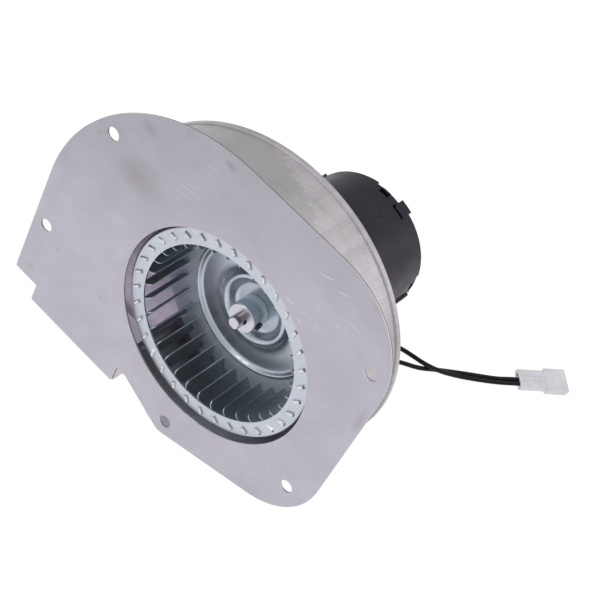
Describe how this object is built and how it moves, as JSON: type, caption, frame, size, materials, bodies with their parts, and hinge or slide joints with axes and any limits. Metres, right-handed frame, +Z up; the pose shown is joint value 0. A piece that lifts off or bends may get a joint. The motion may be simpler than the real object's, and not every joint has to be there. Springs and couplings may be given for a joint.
{
  "type": "combustion fan",
  "caption": "Furnace draft inducer: sheet-metal scroll on a bolt-on plate, forward-curved wheel on a spinning shaft, black shaded-pole motor and a short two-way lead.",
  "frame": {"origin": "centre of the inlet on the mounting plate's front face, on the shaft's axis", "axes": "+Y along the shaft from the inlet to the motor, +Z up, the outlet opens towards -Z, +X right seen from the inlet side"},
  "size_m": [0.2722, 0.2664, 0.2068],
  "materials": {
    "plate_steel": "satin sheet steel",
    "scroll_steel": "brushed sheet steel",
    "wheel_zinc": "bright zinc",
    "turned_steel": "turned",
    "black_shell": "satin black paint",
    "black_steel": "satin black paint",
    "bronze": "sintered",
    "felt": "felt",
    "lamination_steel": "stacked",
    "copper": "enamelled copper",
    "insulation": "moulded",
    "black_plastic": "moulded",
    "zinc_screw": "zinc plated",
    "lead_jacket": "smooth jacket",
    "white_nylon": "natural nylon",
    "tinned_brass": "tinned",
    "black_screw": "black oxide",
    "cast_aluminium": "as cast"
  },
  "bodies": {
    "housing": {"mounting_plate": "plate_steel", "scroll_wall": "scroll_steel", "back_plate": "scroll_steel", "motor_shell": "black_shell", "front_shield": "black_shell", "rear_cover": "black_shell", "front_bearing": "bronze", "rear_bearing": "bronze", "oil_felts": "felt", "stator_core": "lamination_steel", "shading_rings": "copper", "coil_insulators": "insulation", "stator_coils": "copper", "thermal_protector": "black_plastic", "mounting_bracket": "black_steel", "bracket_screws": "zinc_screw", "lead_grommet": "black_plastic", "lead_a": "lead_jacket", "lead_b": "lead_jacket", "connector_housing": "white_nylon", "connector_terminals": "tinned_brass"},
    "rotor": {"shaft": "turned_steel", "wheel_hub": "turned_steel", "wheel_back_plate": "wheel_zinc", "wheel_blades": "wheel_zinc", "wheel_front_ring": "wheel_zinc", "set_screw": "black_screw", "rotor_core": "lamination_steel", "rotor_cage": "cast_aluminium", "thrust_washers": "turned_steel", "retaining_rings": "black_screw", "cooling_fan": "cast_aluminium"}
  },
  "joints": [
    {"name": "rotor_spin", "type": "hinge", "parent": "housing", "child": "rotor", "pos_m": [0, 0.09, 0], "axis": [0, 1, 0], "continuous": true}
  ]
}
